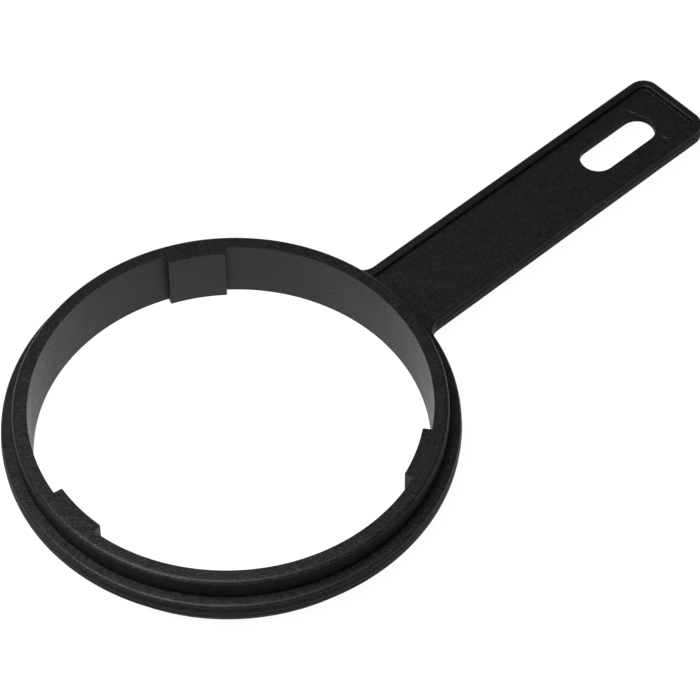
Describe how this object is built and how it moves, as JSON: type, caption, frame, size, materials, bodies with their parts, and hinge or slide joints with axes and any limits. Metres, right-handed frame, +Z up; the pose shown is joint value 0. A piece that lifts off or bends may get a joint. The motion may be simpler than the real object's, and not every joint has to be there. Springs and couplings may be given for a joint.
{
  "type": "filter housing wrench",
  "caption": "Rigid black plastic ring wrench: a flanged ring with inward drive lugs, and a flat handle with raised rims and a hanging slot, for turning round filter housings.",
  "frame": {"origin": "centre of the ring on its lower face", "axes": "+Z up along the ring's axis, +X along the handle towards the hanging slot, +Y to the left of the handle"},
  "size_m": [0.2583, 0.1372, 0.0197],
  "materials": {
    "moulding": "black glass-filled moulding, satin"
  },
  "bodies": {
    "root": {"ring_band": "moulding", "ring_flange": "moulding", "drive_lug_left": "moulding", "drive_lug_rear": "moulding", "drive_lug_right": "moulding", "handle_web": "moulding", "rail_left": "moulding", "rail_right": "moulding", "rail_end": "moulding", "root_fillet_left": "moulding", "root_fillet_right": "moulding"}
  },
  "joints": []
}
